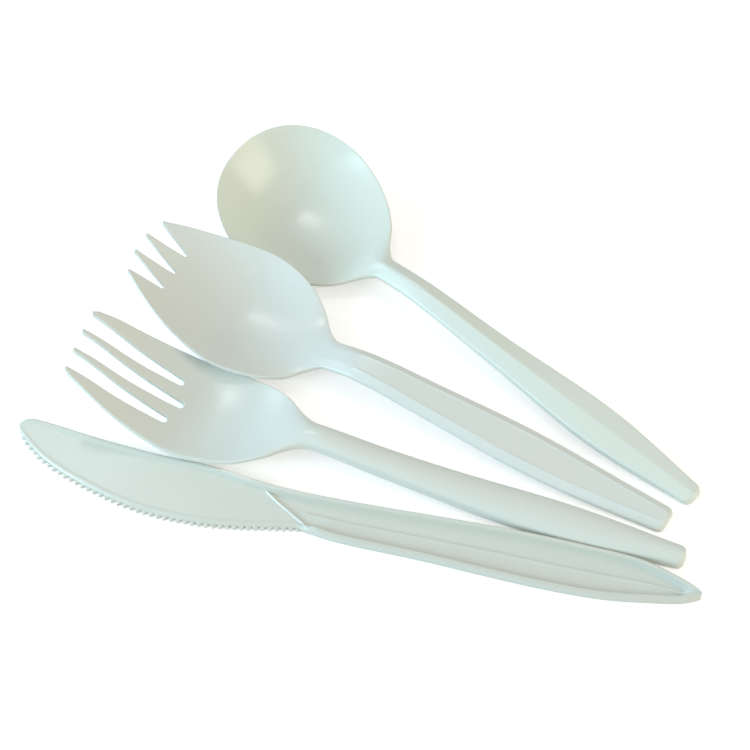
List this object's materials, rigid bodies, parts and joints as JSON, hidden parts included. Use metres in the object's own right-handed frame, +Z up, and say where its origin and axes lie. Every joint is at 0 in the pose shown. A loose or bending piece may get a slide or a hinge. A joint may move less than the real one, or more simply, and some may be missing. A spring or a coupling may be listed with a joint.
{
  "type": "plastic cutlery pack",
  "caption": "Fanned pack of moulded throwaway cutlery: a serrated knife, a fork, a spork and a round-bowled soup spoon that overlap.",
  "frame": {"origin": "middle of the underside of the pack's bounding box, on the table", "axes": "+X toward the handle ends, +Y from the knife toward the spoon, +Z up from the table"},
  "size_m": [0.178, 0.1426, 0.0216],
  "materials": {
    "plastic": "satin, pale grey-green white"
  },
  "bodies": {
    "root": {"knife": "plastic", "fork": "plastic", "spork": "plastic", "spoon": "plastic"}
  },
  "joints": []
}
